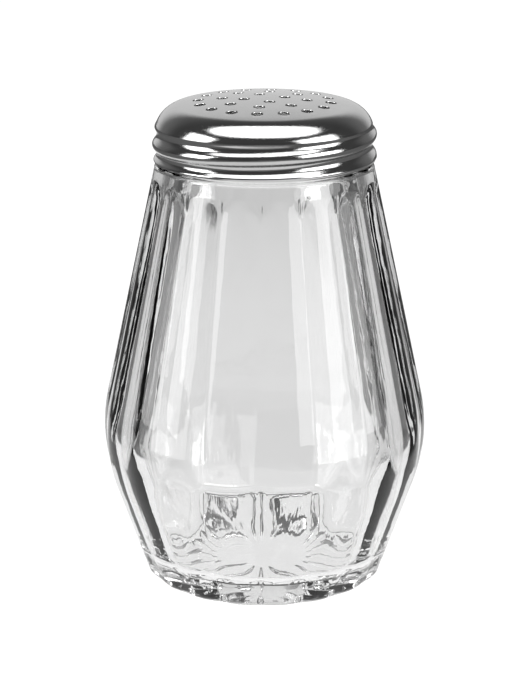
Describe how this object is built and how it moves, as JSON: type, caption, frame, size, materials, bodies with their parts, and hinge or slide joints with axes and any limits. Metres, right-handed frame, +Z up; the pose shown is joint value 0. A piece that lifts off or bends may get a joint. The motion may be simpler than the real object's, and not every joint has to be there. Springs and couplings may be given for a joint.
{
  "type": "sugar duster",
  "caption": "Fluted clear glass sugar duster with a domed, perforated steel screw cap that lifts off for filling.",
  "frame": {"origin": "centre of the foot, on the surface that the jar stands on", "axes": "+Z up along the axis of the jar and cap; the picture's camera looks along +Y, so -Y is the side that it shows and +X is its right"},
  "size_m": [0.0858, 0.0852, 0.1288],
  "materials": {
    "clear_glass": "clear pressed soda-lime glass, fire-polished",
    "polished_steel": "thin stainless sheet, polished to a soft mirror"
  },
  "bodies": {
    "jar": {"glass_jar": "clear_glass"},
    "cap": {"perforated_cap": "polished_steel"}
  },
  "joints": [
    {"name": "cap_lift", "type": "slide", "parent": "jar", "child": "cap", "axis": [0, 0, 1], "range_m": [0, 0.08]}
  ]
}
